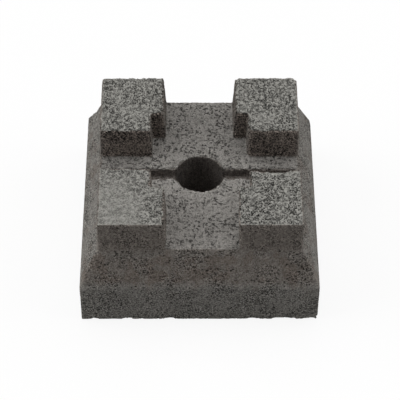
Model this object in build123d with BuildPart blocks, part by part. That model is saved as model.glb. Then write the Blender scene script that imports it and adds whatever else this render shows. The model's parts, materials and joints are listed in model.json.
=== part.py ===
from build123d import *
from math import atan2, cos, radians, sin, tan
import os

os.makedirs("parts", exist_ok=True)

# Deck pier block, cast in one piece from a dry concrete mix. It stands on its square
# foot, and the four lugs on its head hold a beam, a joist or a post. The origin is the
# centre of the foot's underside, +Z is up, and the wide channel runs along Y.
# Lengths are in millimetres and angles in degrees.

# Foot and sloped shoulders
foot_side = 305.0
foot_height = 62.0
slope_height = 50.0
slope_inset = 23.0

# Lugs, whose outer faces rise from the top edges of the slopes
lug_height = 47.5
lug_draft = 0.5

# Seats between the lugs, measured at their floor: a wide channel along Y, a narrow one
# along X, and a square pocket cut into the inner corners of the lugs
beam_seat_width = 89.0
joist_seat_width = 60.5
channel_draft = 3.7
post_seat_side = 124.0
pocket_draft = 2.1

# Cored hole, and the groove that the bar carrying the core leaves in the seat floor
hole_diameter = 62.0
groove_width = 17.0
groove_depth = 15.0
groove_end_wall = 3.5

# Wear: upright corners, arrises, and the lips where the seat floor meets the slopes. The
# back right corner and two arrises of the right lugs have been knocked rounder.
corner_radius = 2.5
knocked_corner_radius = 15.0
arris_radius = 1.5
knocked_arris_radius = 8.0
lip_wear = 1.5

# Chips: round hollows in the front right lug's knocked arris and in the back left hip
arris_chip_radius = 34.0
arris_chip_depth = 7.5
hip_chip_radius = 20.0
hip_chip_depth = 4.5
hip_chip_height = 10.0

# Levels and sides that follow from the sizes above
seat_level = foot_height + slope_height
top_level = seat_level + lug_height
shoulder_side = foot_side - 2 * slope_inset
head_side = shoulder_side - 2 * lug_height * tan(radians(lug_draft))
right_lug_middle = (post_seat_side + head_side) / 4


def block_section(side, level, back_right_radius):
    """Plan section of the block at a level, with its four corners rounded."""
    with BuildSketch(Plane.XY.offset(level)) as section:
        Rectangle(side, side)
        corners = section.vertices().sort_by(lambda corner: corner.X + corner.Y)
        fillet(corners[:-1], corner_radius)
        back_right = section.vertices().sort_by(lambda corner: corner.X + corner.Y)[-1]
        fillet(back_right, back_right_radius)
    return section.sketch


def mouth_width(seat_width):
    """Width of a channel at the lug tops, from its width at the floor."""
    return seat_width + 2 * lug_height * tan(radians(channel_draft))


def channel_section(end_plane, seat_width):
    """End section of a channel, whose walls lean outwards from its floor."""
    with BuildSketch(end_plane) as section:
        with Locations((0, seat_level)):
            standing = (Align.CENTER, Align.MIN)
            Trapezoid(mouth_width(seat_width), lug_height, 90 + channel_draft, align=standing)
    return section.sketch


def lip_section(side_plane):
    """Side section of the wear along a channel's two lips, from floor to slope."""
    lip = shoulder_side / 2
    slope_lean = atan2(slope_inset, slope_height)
    wear_end = (lip + lip_wear * sin(slope_lean), seat_level - lip_wear * cos(slope_lean))
    with BuildSketch(side_plane) as section:
        with BuildLine():
            worn = TangentArc((lip - lip_wear, seat_level), wear_end, tangent=(1, 0))
            Polyline(worn @ 1, (wear_end[0], seat_level), worn @ 0)
        make_face()
        mirror(about=Plane.YZ)
    return section.sketch


def lug_arrises():
    """The sharp edges up and round the tops of the lugs, without seams and inside corners."""
    edges = pier_block.edges().filter_by_position(Axis.Z, seat_level, top_level, (False, True))
    return edges.filter_by(lambda edge: not edge.is_interior)


def chip(spot, outward, radius, depth):
    """Takes a round hollow out of an edge at a spot; outward is the way the edge points."""
    with Locations(Vector(*spot) + Vector(*outward).normalized() * (radius - depth)):
        Sphere(radius, mode=Mode.SUBTRACT)


with BuildPart() as pier_block:
    # Upright foot, sloped shoulders, and the head with its slight draft
    foot = block_section(foot_side, 0, knocked_corner_radius)
    foot_top = block_section(foot_side, foot_height, knocked_corner_radius)
    shoulder = block_section(shoulder_side, seat_level, corner_radius)
    head = block_section(head_side, top_level, corner_radius)
    extrude(foot, amount=foot_height)
    loft([foot_top, shoulder])
    loft([shoulder, head])

    # Two crossing channels part the head into four lugs
    half_side = foot_side / 2
    extrude(channel_section(Plane.XZ, beam_seat_width), amount=half_side, both=True, mode=Mode.SUBTRACT)
    extrude(channel_section(Plane.YZ, joist_seat_width), amount=half_side, both=True, mode=Mode.SUBTRACT)

    # Square post pocket, down to the same floor
    with BuildSketch(Plane.XY.offset(seat_level)):
        Rectangle(post_seat_side, post_seat_side)
    extrude(amount=lug_height, taper=-pocket_draft, mode=Mode.SUBTRACT)

    # Knocked arrises: upright beside the pocket on the back right lug, and along the back of
    # the front right lug's top
    pocket_corner = (post_seat_side / 2, joist_seat_width / 2, seat_level)
    arris_middle = (right_lug_middle, -mouth_width(joist_seat_width) / 2, top_level)
    for knocked_spot in (pocket_corner, arris_middle):
        knocked_arris = lug_arrises().sort_by_distance(knocked_spot)[0]
        fillet(knocked_arris, knocked_arris_radius)

    # Worn arrises up and round the lugs, round the top of the foot and its underside
    fillet(lug_arrises(), arris_radius)
    fillet(pier_block.edges().filter_by(lambda edge: edge.center().Z == foot_height), arris_radius)
    underside = pier_block.faces().sort_by(Axis.Z)[0]
    fillet(underside.edges(), arris_radius)

    # Worn lips at the ends of both channels
    extrude(lip_section(Plane.YZ), amount=beam_seat_width / 2, both=True, mode=Mode.SUBTRACT)
    extrude(lip_section(Plane.XZ), amount=joist_seat_width / 2, both=True, mode=Mode.SUBTRACT)

    # Cored hole right through, and the groove across the seat floor, closed at its ends
    with Locations((0, 0, seat_level)):
        Hole(hole_diameter / 2)
    with BuildSketch(Plane.XY.offset(seat_level)):
        Rectangle(shoulder_side - 2 * groove_end_wall, groove_width)
    extrude(amount=-groove_depth, mode=Mode.SUBTRACT)

    # Chips out of the front right lug's knocked arris and the back left hip
    hip_corner = foot_side / 2 - slope_inset * hip_chip_height / slope_height
    hip_spot = (-hip_corner, hip_corner, foot_height + hip_chip_height)
    chip(arris_middle, (0, 1, 1), arris_chip_radius, arris_chip_depth)
    chip(hip_spot, (-1, 1, 1), hip_chip_radius, hip_chip_depth)

pier_block.part.label = "pier_block"
export_step(pier_block.part, "parts/pier_block.step")
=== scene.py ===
import json
from math import cos, pi, radians, sin

import bmesh
import bpy
from mathutils import Matrix, Vector


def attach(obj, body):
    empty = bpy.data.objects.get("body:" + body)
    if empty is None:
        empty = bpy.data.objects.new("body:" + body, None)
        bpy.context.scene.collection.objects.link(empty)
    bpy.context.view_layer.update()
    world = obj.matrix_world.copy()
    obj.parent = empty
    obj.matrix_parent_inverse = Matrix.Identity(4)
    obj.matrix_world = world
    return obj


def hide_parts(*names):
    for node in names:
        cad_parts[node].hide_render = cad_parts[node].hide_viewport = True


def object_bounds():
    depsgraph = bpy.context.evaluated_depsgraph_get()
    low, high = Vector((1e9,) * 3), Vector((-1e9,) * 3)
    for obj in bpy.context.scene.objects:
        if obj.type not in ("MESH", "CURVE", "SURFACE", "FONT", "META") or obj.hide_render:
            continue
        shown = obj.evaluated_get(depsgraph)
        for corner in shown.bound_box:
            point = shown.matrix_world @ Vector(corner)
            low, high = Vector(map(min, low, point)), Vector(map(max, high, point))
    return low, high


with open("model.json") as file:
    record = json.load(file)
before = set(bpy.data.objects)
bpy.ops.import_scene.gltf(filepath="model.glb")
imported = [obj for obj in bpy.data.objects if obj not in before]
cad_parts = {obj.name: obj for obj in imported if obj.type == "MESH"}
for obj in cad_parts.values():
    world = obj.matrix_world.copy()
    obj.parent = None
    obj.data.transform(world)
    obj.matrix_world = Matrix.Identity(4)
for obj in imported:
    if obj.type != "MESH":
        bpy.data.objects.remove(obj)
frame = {"nodes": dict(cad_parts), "record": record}
cad_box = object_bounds()

# The block: one casting of a dry, coarse concrete mix, rammed into a mould and turned out at
# once. The mould left a close, matt skin on its outside; the lug tops and the seat floor were
# struck off open-grained. Its smooth form is the frame's; grain, pits and wear are added here.

mounts = {mount["name"]: mount for mount in frame["record"]["mounts"]}
LUG_TOP = cad_box[1][2]
SEAT_LEVEL = mounts["seat_floor"]["pos_m"][2]
HOLE_RADIUS = mounts["cored_hole"]["dims"]["r_mm"] / 1000
FOOT_HEIGHT = 0.062
LUG_OUTSIDE = 0.1295  # half the width over the lugs, at their feet
CRUMB_SIZE = 0.0024  # one crumb of the open grain, across

MESH_SIZE = 0.0012
MOST_TRIANGLES = 196000
WELD_DISTANCE = 0.00001
SHARP_EDGE = radians(32)

# How deep the weathering goes, and how far the surface stands proud before it starts
DEPTHS = {
    "Gap depth": 0.0015,
    "Pit depth": 0.0010,
    "Crumble depth": 0.0036,
    "Unevenness": 0.0005,
    "Stand proud": 0.0005,
}

# The front left lug's top is rubbed close, and the front right lug's has lost more crumbs
RUBBED_SPOT = (-0.11, -0.10, LUG_TOP)
LOOSE_SPOT = (0.09, -0.08, LUG_TOP)

# Bites lost from corners and arrises: where, the way the corner points, roundness, depth. They
# are on the back lugs, along the front right lug's back arris, down the back left hip and at
# the left end of the seat's front lip.
BITES = (
    ((0.1291, 0.1291, LUG_TOP), (1, 1, 1), 0.009, 0.0042),
    ((-0.1291, 0.1291, LUG_TOP), (-1, 1, 1), 0.007, 0.0026),
    ((0.0476, 0.1291, LUG_TOP), (-1, 1, 1), 0.010, 0.0036),
    ((0.067, -0.0333, LUG_TOP), (0, 1, 1), 0.016, 0.0052),
    ((0.081, -0.0333, LUG_TOP), (0, 1, 1), 0.014, 0.0075),
    ((0.106, -0.0333, LUG_TOP), (0, 1, 1), 0.014, 0.0075),
    ((0.121, -0.0333, LUG_TOP), (0, 1, 1), 0.016, 0.0048),
    ((-0.1410, 0.1410, 0.087), (-1, 1, 1), 0.016, 0.0065),
    ((-0.1500, 0.1500, 0.066), (-1, 1, 0.6), 0.016, 0.0020),
    ((-0.0445, -0.1300, 0.1115), (0.4, -1, 1), 0.007, 0.0030),
)

# Walls that stand askew: middle of the wall, how far the skew reaches, and its whole shift.
# They are the front lugs' inner walls, the front left lug's outside and the back lugs' fronts.
SKEWS = (
    ((-0.0460, -0.085, 0.143), (0.030, 0.130, 0.050), (0.0024, 0, 0)),
    ((0.0460, -0.085, 0.112), (0.030, 0.130, 0.060), (0.0054, 0, 0)),
    ((-0.1291, -0.100, 0.140), (0.030, 0.110, 0.060), (0.0014, 0, 0)),
    ((-0.0900, 0.0320, 0.140), (0.130, 0.040, 0.060), (0, -0.0014, 0)),
    ((0.0900, 0.0320, 0.140), (0.130, 0.040, 0.060), (0, -0.0016, 0)),
)


class Field:
    """A value or vector that varies over the surface. Sums written with it add nodes to its tree."""

    def __init__(self, socket):
        self.socket = socket
        self.tree = socket.id_data

    def node(self, kind, *inputs, out=0, **settings):
        return add_node(self.tree, kind, *inputs, out=out, **settings)

    def maths(self, operation, *others):
        several = self.socket.type in ("VECTOR", "RGBA")
        kind = "ShaderNodeVectorMath" if several else "ShaderNodeMath"
        return self.node(kind, self, *others, operation=operation)

    def __add__(self, other):
        return self.maths("ADD", other)

    def __sub__(self, other):
        return self.maths("SUBTRACT", other)

    def __mul__(self, other):
        return self.maths("MULTIPLY", other)

    def scaled(self, amount):
        """The vector or colour times the amount."""
        return self.node("ShaderNodeVectorMath", self, None, None, amount, operation="SCALE")

    def of(self, whole):
        """The value's share of a plain colour or shift."""
        return self.node("ShaderNodeVectorMath", whole[:3], None, None, self, operation="SCALE")

    def flipped(self):
        """1 less the value."""
        return self.node("ShaderNodeMath", 1, self, operation="SUBTRACT")

    def step(self, start, end):
        """A smooth rise from 0 where the value is start to 1 where it is end."""
        return self.node("ShaderNodeMapRange", self, start, end, interpolation_type="SMOOTHSTEP")

    def part(self, axis):
        """One coordinate of the vector: 0 for X, 1 for Y, 2 for Z."""
        return self.node("ShaderNodeSeparateXYZ", self, out=axis)

    def length(self):
        """How long the vector is."""
        return self.node("ShaderNodeVectorMath", self, operation="LENGTH", out=1)

    def distance(self, spot):
        """How far the place is from a spot."""
        return self.node("ShaderNodeVectorMath", self, spot, operation="DISTANCE", out=1)


def add_node(tree, kind, *inputs, out=0, **settings):
    """Adds a node, fills its inputs in order with fields or plain values, gives one output back."""
    node = tree.nodes.new(kind)
    for name, value in settings.items():
        setattr(node, name, value)
    for socket, value in zip(node.inputs, inputs):
        fill(socket, value)
    return Field(node.outputs[out])


def fill(socket, value):
    """Links a field to the socket, or sets a plain value on it. None leaves it as it is."""
    if isinstance(value, Field):
        socket.id_data.links.new(value.socket, socket)
    elif value is not None:
        socket.default_value = value


def cloud(place, size, detail=2.0, rough=0.5, seed=0, out=0):
    """Soft lumps of one size, as values from 0 to 1 about a half; out=1 gives three at once."""
    moved = place + (0.37 * seed, 0.71 * seed, 0.53 * seed)
    return place.node("ShaderNodeTexNoise", moved, None, 1 / size, detail, rough, out=out)


def cells(place, size, feature, out=0):
    """Rounded cells of one size: 0 is the distance in cells, 1 a colour for each cell."""
    cell = place.node("ShaderNodeTexVoronoi", place, feature=feature, out=out)
    fill(cell.socket.node.inputs["Scale"], 1 / size)
    return cell


def strayed(place, size, reach, seed):
    """The place shifted a little this way and that, so that what is drawn on it comes out ragged."""
    return place + (cloud(place, size, seed=seed, out=1) - (0.5, 0.5, 0.5)).scaled(reach)


def specks(place, spacing, share, seed):
    """Small ragged hollows, one at most in each cell, in a share of the cells, 0 to 1."""
    spot = strayed(place, spacing * 0.3, spacing * 0.9, seed)
    spot = spot + (0.31 * seed, 0.17 * seed, 0.23 * seed)
    chance = cells(spot, spacing, "F1", out=1).part(1)
    return cells(spot, spacing, "F1").step(0.38, 0.16) * chance.step(0.90 - share, 1.10 - share)


def struck_grain(place):
    """Crumbs of the struck-off tops: the tone of each, its dome, and the gaps round it, 0 to 1."""
    spot = strayed(place, CRUMB_SIZE * 1.5, CRUMB_SIZE * 1.6, seed=1)
    tone = cells(spot, CRUMB_SIZE, "F1", out=1).part(0)
    dome = cells(spot, CRUMB_SIZE, "F1").step(0.75, 0.1)
    looseness = cloud(place, CRUMB_SIZE * 2.2, seed=2).step(0.42, 0.62)
    crack = cells(spot, CRUMB_SIZE, "DISTANCE_TO_EDGE").step(0.19, 0.06) * looseness
    hollow = cloud(spot, 0.0020, detail=1.5, seed=3).step(0.560, 0.610)
    return tone, dome, crack.maths("MAXIMUM", hollow)


def seat_grain(place):
    """Gaps of the seat floor, which the rammer closed: sparse specks, and fine ones between them."""
    loose = cloud(place, 0.025, detail=2, seed=17).step(0.40, 0.60)
    spot = strayed(place, 0.003, 0.003, seed=21)
    fine = cloud(spot, 0.0028, detail=2.5, rough=0.6, seed=19).step(0.52, 0.62)
    wide = specks(place, spacing=0.0044, share=0.30, seed=18) * 0.85
    return (fine * (loose * 0.45 + 0.38)).maths("MAXIMUM", wide)


def open_patches(place):
    """Where the moulded skin lies more open: wide patches, 0 to 1."""
    return cloud(place, 0.028, detail=2, seed=26).step(0.42, 0.58)


def skin_grain(place):
    """Pits in the close skin that the mould pressed: in patches, and under the lugs' outsides."""
    height = place.part(2)
    flat = place * (1, 1, 1.5)
    small = cloud(flat, 0.0022, detail=2, rough=0.6, seed=5).step(0.54, 0.62)
    small = small * (open_patches(place) * 0.6 + 0.35)
    patch = cloud(place, 0.02, detail=2, seed=6).step(0.45, 0.60)
    under = height.step(SEAT_LEVEL - 0.012, SEAT_LEVEL - 0.003)
    under = under * cloud(place, 0.03, seed=23).step(0.4, 0.5)
    under = under * height.step(SEAT_LEVEL + 0.005, SEAT_LEVEL + 0.001)
    wide = specks(flat, spacing=0.0050, share=0.75, seed=7) * patch.maths("MAXIMUM", under)
    return small.maths("MAXIMUM", wide)


def bitten(place, spot, outward, roundness, depth):
    """The way that a bite out of a corner moves the surface: a round hollow with a rough floor."""
    centre = Vector(spot) + Vector(outward).normalized() * (roundness - depth)
    away = place - tuple(centre)
    rough = cloud(place, 0.005, detail=2, seed=16) * 0.003 - 0.0015
    push = ((away.length() + rough) * -1 + roundness).maths("MAXIMUM", 0.0)
    return away.maths("NORMALIZE").scaled(push)


def skewed(place, middle, reach, shift):
    """The way that a wall standing askew lies off its place: the whole shift near its middle."""
    off = (place - middle) * tuple(1 / length for length in reach)
    return off.length().step(1.0, 0.45).of(shift)


def found_arrises(place, facing):
    """The arrises, 0 to 1: where a smoothed copy of the casting falls inside the sharp one."""
    blur = place.tree.nodes.new("GeometryNodeBlurAttribute")
    blur.data_type = "FLOAT_VECTOR"
    smoothed = Field(next(socket for socket in blur.outputs if socket.enabled))
    for socket in blur.inputs:
        if socket.enabled:
            fill(socket, {"Value": place, "Iterations": 12, "Weight": 1.0}[socket.name])
    inset = place - smoothed
    bulge = inset.node("ShaderNodeVectorMath", inset, facing, operation="DOT_PRODUCT", out=1)
    return bulge.step(0.0001, 0.0009)


def stored(shaped, fields):
    """The casting with the fields stored on its points by name, for its material to read."""
    for name, field in fields.items():
        store = field.tree.nodes.new("GeometryNodeStoreNamedAttribute")
        store.data_type = "FLOAT_VECTOR" if field.socket.type == "VECTOR" else "FLOAT"
        store.domain = "POINT"
        fill(store.inputs["Geometry"], shaped)
        fill(store.inputs["Name"], name)
        values = (socket for socket in store.inputs if socket.name == "Value" and socket.enabled)
        fill(next(values), field)
        shaped = Field(store.outputs[0])
    return shaped


def weathering_tree():
    """Geometry Nodes tree that gives the smooth casting its grain, pits and crumbled arrises."""
    tree = bpy.data.node_groups.new("weathered casting", "GeometryNodeTree")
    tree.is_modifier = True
    sides = tree.interface
    sides.new_socket("Casting", in_out="INPUT", socket_type="NodeSocketGeometry")
    for name in DEPTHS:
        sides.new_socket(name, in_out="INPUT", socket_type="NodeSocketFloat")
    sides.new_socket("Concrete", in_out="INPUT", socket_type="NodeSocketMaterial")
    sides.new_socket("Casting", in_out="OUTPUT", socket_type="NodeSocketGeometry")
    entry = tree.nodes.new("NodeGroupInput")
    casting, gap_depth, pit_depth, crumble_depth, unevenness, stand_proud, concrete = (
        Field(socket) for socket in entry.outputs[:7]
    )

    place = add_node(tree, "GeometryNodeInputPosition")
    facing = add_node(tree, "GeometryNodeInputNormal")
    height = place.part(2)
    across = place.part(0).maths("ABSOLUTE")
    along = place.part(1).maths("ABSOLUTE")
    outwards = across.maths("MAXIMUM", along)
    arris = found_arrises(place, facing)

    # The struck faces look up and stop at a ragged line inside the lugs' outsides
    on_lugs = height.step(LUG_TOP - 0.008, LUG_TOP - 0.004)
    ragged_edge = outwards + (cloud(place, 0.012, seed=25) * 0.0016 - 0.0008)
    struck = facing.part(2).step(0.25, 0.60)
    struck = struck * ragged_edge.step(LUG_OUTSIDE - 0.0013, LUG_OUTSIDE - 0.0018)

    # The inner walls are the lugs' faces over the seat, and the core scraped those that face
    # the front or the back; the cored walls are those of the hole and the groove
    inner = outwards.step(LUG_OUTSIDE - 0.001, LUG_OUTSIDE - 0.004)
    inner = inner * height.step(SEAT_LEVEL - 0.001, SEAT_LEVEL + 0.003)
    inner_wall = inner * struck.flipped()
    scraped = inner_wall * facing.part(1).maths("ABSOLUTE").step(0.4, 0.8)
    cored = outwards.step(LUG_OUTSIDE - 0.001, LUG_OUTSIDE - 0.003)
    cored_rim = cored * height.step(SEAT_LEVEL - 0.006, SEAT_LEVEL - 0.003)
    cored = cored * height.step(SEAT_LEVEL - 0.001, SEAT_LEVEL - 0.003) * height.step(0, 0.002)

    # How open the grain lies: fully on the lug tops, but for a rubbed spot and the outer arrises
    patches = cloud(place, 0.03, detail=2, seed=8)
    rubbed = place.distance(RUBBED_SPOT).step(0.060, 0.020) * 0.42
    dense = arris * outwards.step(LUG_OUTSIDE - 0.008, LUG_OUTSIDE - 0.004) * 0.7
    loose = place.distance(LOOSE_SPOT).step(0.070, 0.040) * 0.10 + 1
    openness = rubbed.flipped() * (patches.step(0.25, 0.55) * 0.3 + 0.7) * dense.flipped() * loose

    # How deep the grain and the pits go
    tone, dome, gap = struck_grain(place)
    lug_depth = (gap * gap_depth + dome.flipped() * 0.0004) * openness
    seat_depth = seat_grain(place) * gap_depth + dome.flipped() * 0.0002
    skin_depth = skin_grain(place) * pit_depth * (inner_wall * 0.6 + 1)
    struck_depth = seat_depth + (lug_depth - seat_depth) * on_lugs
    depth = skin_depth + (struck_depth - skin_depth) * struck

    # Arrises crumble most round the seat, and the foot's bottom edge wanders instead
    weak = inner.maths("MAXIMUM", cored_rim) * 0.75 + 0.25
    broken = cloud(place, 0.006, detail=2, seed=9).step(0.42, 0.60) * weak
    low = height.step(0.010, 0.002)
    wandering = cloud(place, 0.018, detail=2, seed=15).step(0.46, 0.66) * low
    broken = broken * (low * -0.6 + 1) - low * 0.25
    depth = depth + arris * (broken + wandering * 1.5) * crumble_depth
    depth = depth + cloud(place, 0.035, detail=2, seed=10) * unevenness

    moved = place - facing.scaled(depth - stand_proud)
    for middle, reach, shift in SKEWS:
        moved = moved + skewed(place, middle, reach, shift)
    for spot, outward, roundness, bite_depth in BITES:
        moved = moved + bitten(place, spot, outward, roundness, bite_depth)
    kept = moved.maths("MINIMUM", tuple(cad_box[1])).maths("MAXIMUM", tuple(cad_box[0]))

    fields = {
        "cast_place": place,
        "struck": struck,
        "openness": openness,
        "on_lugs": on_lugs,
        "inner_wall": inner_wall,
        "scraped": scraped,
        "cored": cored,
        "arris": arris,
    }
    shaped = add_node(tree, "GeometryNodeSetPosition", stored(casting, fields), None, kept)
    shaped = add_node(tree, "GeometryNodeRealizeInstances", shaped)
    shaped = add_node(tree, "GeometryNodeSetMaterial", shaped, None, concrete)
    leave = tree.nodes.new("NodeGroupOutput")
    fill(leave.inputs[0], shaped)
    return tree


def blend(amount, low, high):
    """The colour low where amount is 0 and the colour high where it is 1."""
    node = amount.tree.nodes.new("ShaderNodeMix")
    node.data_type = "RGBA"
    for socket, value in ((node.inputs[0], amount), (node.inputs[6], low), (node.inputs[7], high)):
        fill(socket, value)
    return Field(node.outputs[2])


def dry_cast_concrete():
    """Grey concrete with a warm cast, brownish in patches, with painted shade, near black, in its
    gaps and pits.
    """
    lug_grey = (0.316, 0.310, 0.286, 1)
    seat_grey = (0.290, 0.277, 0.258, 1)
    skin_grey = (0.247, 0.236, 0.217, 1)
    darker_brown = (0.190, 0.164, 0.143, 1)
    scraped_brown = (0.200, 0.170, 0.148, 1)
    core_brown = (0.165, 0.146, 0.132, 1)
    # The gaps and pits are real hollows in the mesh; the near black they are painted is painted
    # shade
    gap_shade_black = (0.015, 0.014, 0.013, 1)

    concrete = bpy.data.materials.new("dry-cast concrete")
    concrete.use_nodes = True
    tree = concrete.node_tree
    surface = tree.nodes["Principled BSDF"]
    surface.inputs["Specular IOR Level"].default_value = 0.15

    place = add_node(tree, "ShaderNodeAttribute", attribute_name="cast_place", out=1)
    struck, openness, on_lugs, inner_wall, scraped, cored, arris = (
        add_node(tree, "ShaderNodeAttribute", attribute_name=name, out=2)
        for name in ("struck", "openness", "on_lugs", "inner_wall", "scraped", "cored", "arris")
    )
    across = place.part(0).maths("ABSOLUTE")
    along = place.part(1)
    height = place.part(2)
    tone, dome, gap = struck_grain(place)
    seat_gap = seat_grain(place)
    wall_specks = specks(place, spacing=0.0046, share=0.9, seed=20) * inner_wall
    wall_gap = skin_grain(place).maths("MAXIMUM", wall_specks)
    sand = cloud(place, 0.0017, detail=2, seed=4).step(0.28, 0.72) - 0.5
    drag = cloud(place * (1, 1, 0.08), 0.0024, detail=1, seed=22) - 0.5

    # The struck tops: pale crumbs with gaps painted near black as shade on the lugs, closer and
    # warmer on the seat
    lug_colour = (tone * 0.12 + sand * 0.25 + 0.95).of(lug_grey)
    lug_colour = blend(gap * openness * 0.87, lug_colour, gap_shade_black)
    # Painted shade: the seat is darker at the ends of the cross channel, between the lugs
    channel_end_shade = across.step(0.060, 0.090)
    near_front = along.step(0.02, -0.10)
    seat_colour = (sand * 0.5 - channel_end_shade * 0.1 + near_front * 0.08 + 1).of(seat_grey)
    seat_colour = blend(seat_gap * 0.9, seat_colour, gap_shade_black)
    struck_colour = blend(on_lugs, seat_colour, lug_colour)

    # The moulded skin: browner and darker in patches, and over the seat and on the front slope
    patch = cloud(place, 0.02, detail=3, seed=11)
    brown_share = patch.step(0.48, 0.64) * 0.7 * height.step(FOOT_HEIGHT - 0.03, FOOT_HEIGHT + 0.02)
    brown_share = brown_share.maths("MAXIMUM", height.step(SEAT_LEVEL - 0.010, SEAT_LEVEL + 0.004) * 0.75)
    on_front = along.step(-0.128, -0.136)
    brown_share = brown_share + on_front * height.step(FOOT_HEIGHT, FOOT_HEIGHT + 0.012) * 0.6
    skin_colour = blend(scraped, blend(brown_share, skin_grey, darker_brown), scraped_brown)

    # Its grain is strongest on the inner walls, and its gaps show on the foot's band too
    on_foot = height.step(FOOT_HEIGHT + 0.004, FOOT_HEIGHT - 0.004)
    on_left = place.part(0).step(-0.10, -0.14)
    crumbs = (tone - 0.45) * dome * inner_wall * 1.2
    contrast = inner_wall * 1.1 + on_foot * 0.45 + on_left * 0.3 + open_patches(place) * 0.5 + 0.6
    skin_colour = skin_colour.scaled(sand * contrast + drag * 0.35 + crumbs + 1)
    side_shade = along.step(-0.05, 0.02) * -0.20 - 0.08
    skin_colour = skin_colour.scaled((inner_wall - scraped) * side_shade + 1)
    foot_gap = cloud(place, 0.0034, detail=2, rough=0.6, seed=24).step(0.54, 0.64)
    foot_gap = foot_gap * on_foot * 0.75
    # The skin's pits and the band's gaps take the near black of painted shade
    skin_colour = blend(wall_gap.maths("MAXIMUM", foot_gap) * 0.9, skin_colour, gap_shade_black)

    cored_colour = (sand * 0.9 + drag * 0.9 + 1).of(core_brown)
    colour = blend(cored, blend(struck, skin_colour, struck_colour), cored_colour)

    # Light and dark all over at random, a painted highlight along the struck arrises, and painted
    # shade and light in the hole: darker near its top and at its sides, lighter deep down away from
    # its sides
    mottle_and_highlight = (cloud(place, 0.009, detail=2, seed=14) - 0.5) * (on_lugs * struck * -0.25 + 0.5)
    # Painted highlight: the struck arrises are made paler
    mottle_and_highlight = mottle_and_highlight + arris * struck * 0.22 + 1
    from_middle = place.node("ShaderNodeCombineXYZ", place.part(0), along).distance((0, 0, 0))
    # Painted shade and light in the hole: darker near its top and at its sides, lighter deep down
    # away from its sides
    hole_shade_mask = from_middle.step(HOLE_RADIUS + 0.003, HOLE_RADIUS + 0.001) * cored
    deep = height.step(0.105, 0.050)
    side_wall = across.step(0.010, 0.028)
    colour = colour.scaled(mottle_and_highlight * (hole_shade_mask * (deep * 0.4 - side_wall * 0.25 - 0.2) + 1))
    fill(surface.inputs["Base Color"], colour)
    fill(surface.inputs["Roughness"], cloud(place, 0.004, seed=12) * 0.2 + 0.85)

    # Relief finer than the mesh, in metres
    lug_relief = dome * 0.0003 - gap * openness * 0.0007
    seat_relief = sand * 0.0004 - seat_gap * 0.0010
    skin_relief = sand * 0.0006 - wall_gap * 0.0012
    struck_relief = seat_relief + (lug_relief - seat_relief) * on_lugs
    relief = skin_relief + (struck_relief - skin_relief) * struck
    bump = tree.nodes.new("ShaderNodeBump")
    bump.inputs["Distance"].default_value = 1.0
    bump.inputs["Strength"].default_value = 1.0
    fill(bump.inputs["Height"], relief)
    fill(surface.inputs["Normal"], Field(bump.outputs["Normal"]))
    return concrete


def set_input(modifier, name, value):
    """Sets a Geometry Nodes modifier's input by its socket's identifier."""
    for item in modifier.node_group.interface.items_tree:
        if item.item_type == "SOCKET" and item.in_out == "INPUT" and item.name == name:
            modifier[item.identifier] = value


def settle(piece):
    """Gives the piece the plain mesh that its modifiers make, and takes them off it."""
    graph = bpy.context.evaluated_depsgraph_get()
    looks = piece.evaluated_get(graph)
    mesh = bpy.data.meshes.new_from_object(looks, preserve_all_data_layers=True, depsgraph=graph)
    mesh.name = piece.name
    piece.modifiers.clear()
    piece.data = mesh
    return mesh


smooth_casting = frame["nodes"]["pier_block"].data.copy()
block = bpy.data.objects.new("cast_block", smooth_casting)
bpy.context.scene.collection.objects.link(block)
welded = bmesh.new()
welded.from_mesh(smooth_casting)
bmesh.ops.remove_doubles(welded, verts=welded.verts, dist=WELD_DISTANCE)
welded.to_mesh(smooth_casting)
welded.free()
smooth_casting.materials.clear()

remesh = block.modifiers.new("even mesh", "REMESH")
remesh.mode = "VOXEL"
remesh.voxel_size = MESH_SIZE
weathering = block.modifiers.new("weathering", "NODES")
weathering.node_group = weathering_tree()
for name, depth in DEPTHS.items():
    set_input(weathering, name, depth)
set_input(weathering, "Concrete", dry_cast_concrete())
weathered = settle(block)

weathered.calc_loop_triangles()
thinning = block.modifiers.new("thinning", "DECIMATE")
thinning.ratio = MOST_TRIANGLES / len(weathered.loop_triangles)
thinned = settle(block)
for vertex in thinned.vertices:
    vertex.co = [min(max(c, low), high) for c, low, high in zip(vertex.co, *cad_box)]
thinned.shade_smooth()
thinned.set_sharp_from_angle(angle=SHARP_EDGE)

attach(block, "root")
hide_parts("pier_block")

# The floor: a pale sheet of studio paper that runs out of view on every side. Its own glow,
# seen by the camera alone, keeps it white, and the block's shadow still shows on it. Under
# the block, where only the hole lets anyone look, the paper has no glow.

FLOOR_SIZE = 30.0
FLOOR_GAP = 0.0002  # keeps the paper clear of the block's underside
UNDER_BLOCK = 0.1  # no glow nearer to the middle than this
SEEN_GREY = 0.12
BOUNCE_GREY = 0.50


def seen(tree):
    """1 for rays from the camera, also by way of metal or glass, and 0 for all others."""
    rays = tree.nodes.new("ShaderNodeLightPath")
    straight = Field(rays.outputs["Is Camera Ray"])
    mirrored = Field(rays.outputs["Is Glossy Ray"])
    return straight + mirrored + Field(rays.outputs["Is Transmission Ray"])


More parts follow.
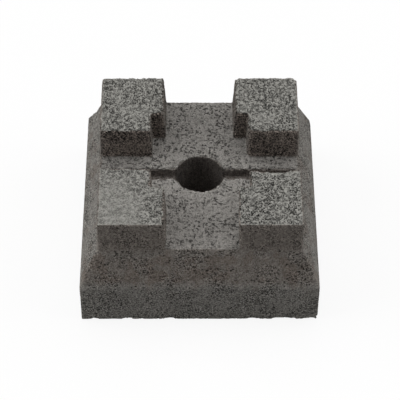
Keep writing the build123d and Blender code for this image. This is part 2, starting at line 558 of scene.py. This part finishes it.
bpy.ops.mesh.primitive_plane_add(size=FLOOR_SIZE, location=(0, 0, -FLOOR_GAP))
floor = bpy.context.object
floor.name = "paper_floor"
paper = bpy.data.materials.new("studio paper")
paper.use_nodes = True
tree = paper.node_tree
tree.nodes.remove(tree.nodes["Principled BSDF"])
seen_paper = seen(tree)
shown_grey = (SEEN_GREY, SEEN_GREY, SEEN_GREY, 1)
bounced_grey = (BOUNCE_GREY, BOUNCE_GREY, BOUNCE_GREY, 1)
matt = add_node(tree, "ShaderNodeBsdfDiffuse", blend(seen_paper, bounced_grey, shown_grey))
reach = add_node(tree, "ShaderNodeTexCoord", out=3).distance((0, 0, 0))
glow_strength = seen_paper * reach.step(UNDER_BLOCK, UNDER_BLOCK * 1.01) * (1 - SEEN_GREY)
glow = add_node(tree, "ShaderNodeEmission", (1, 1, 1, 1), glow_strength)
both = add_node(tree, "ShaderNodeAddShader", matt, glow)
tree.links.new(both.socket, tree.nodes["Material Output"].inputs["Surface"])
floor.data.materials.append(paper)

# Light: a wide soft bank over the block and a little behind it, a softer one on each side,
# and an even, weaker fill from all round, so that the tops are lightest and the front dark.

BANKS = {
    "bank over the block": ((0, 0.35, 1), 0.325),
    "bank on the left": ((-1, 0.1, 0.6), 0.50),
    "bank on the right": ((1, 0.1, 0.6), 0.336),
}
BANK_WIDTH = radians(55)
FILL = 0.24

for name, (direction, level) in BANKS.items():
    bank = bpy.data.lights.new(name, "SUN")
    bank.energy = pi * level
    bank.angle = BANK_WIDTH
    stand = bpy.data.objects.new(name, bank)
    stand.rotation_euler = Vector(direction).to_track_quat("Z", "Y").to_euler()
    bpy.context.scene.collection.objects.link(stand)

studio = bpy.data.worlds.new("studio")
bpy.context.scene.world = studio
studio.use_nodes = True
tree = studio.node_tree
background = tree.nodes["Background"]
background.inputs["Color"].default_value = (1, 1, 1, 1)
fill(background.inputs["Strength"], seen(tree) * (1 - FILL) + FILL)

# Camera: a long lens, well back from the block and high in front of it, turned and rolled by
# less than a fifth of a degree. It looks at a spot in the block's lower half.

PICTURE_SIDE = 400
FOCAL_PIXELS = 1793.5
FILM_WIDTH = 36
LENS = FOCAL_PIXELS * FILM_WIDTH / PICTURE_SIDE
DISTANCE = 2.3760
LOOK_AT = Vector((0.0007, 0, 0.0596))
DOWN = radians(48.7)
TURN = radians(0.179)
ROLL = radians(0.103)

forward = Vector((sin(TURN) * cos(DOWN), cos(TURN) * cos(DOWN), -sin(DOWN)))
sideways = Vector((cos(TURN), -sin(TURN), 0))
upright = sideways.cross(forward)
right = cos(ROLL) * sideways + sin(ROLL) * upright
up = cos(ROLL) * upright - sin(ROLL) * sideways
camera = bpy.data.objects.new("camera", bpy.data.cameras.new("camera"))
camera.data.lens = LENS
camera.data.sensor_width = FILM_WIDTH
camera.data.clip_end = 100
turned = Matrix((right, up, -forward)).transposed().to_4x4()
camera.matrix_world = Matrix.Translation(LOOK_AT - DISTANCE * forward) @ turned
bpy.context.scene.collection.objects.link(camera)
bpy.context.scene.camera = camera
bpy.context.scene.view_settings.view_transform = "Standard"
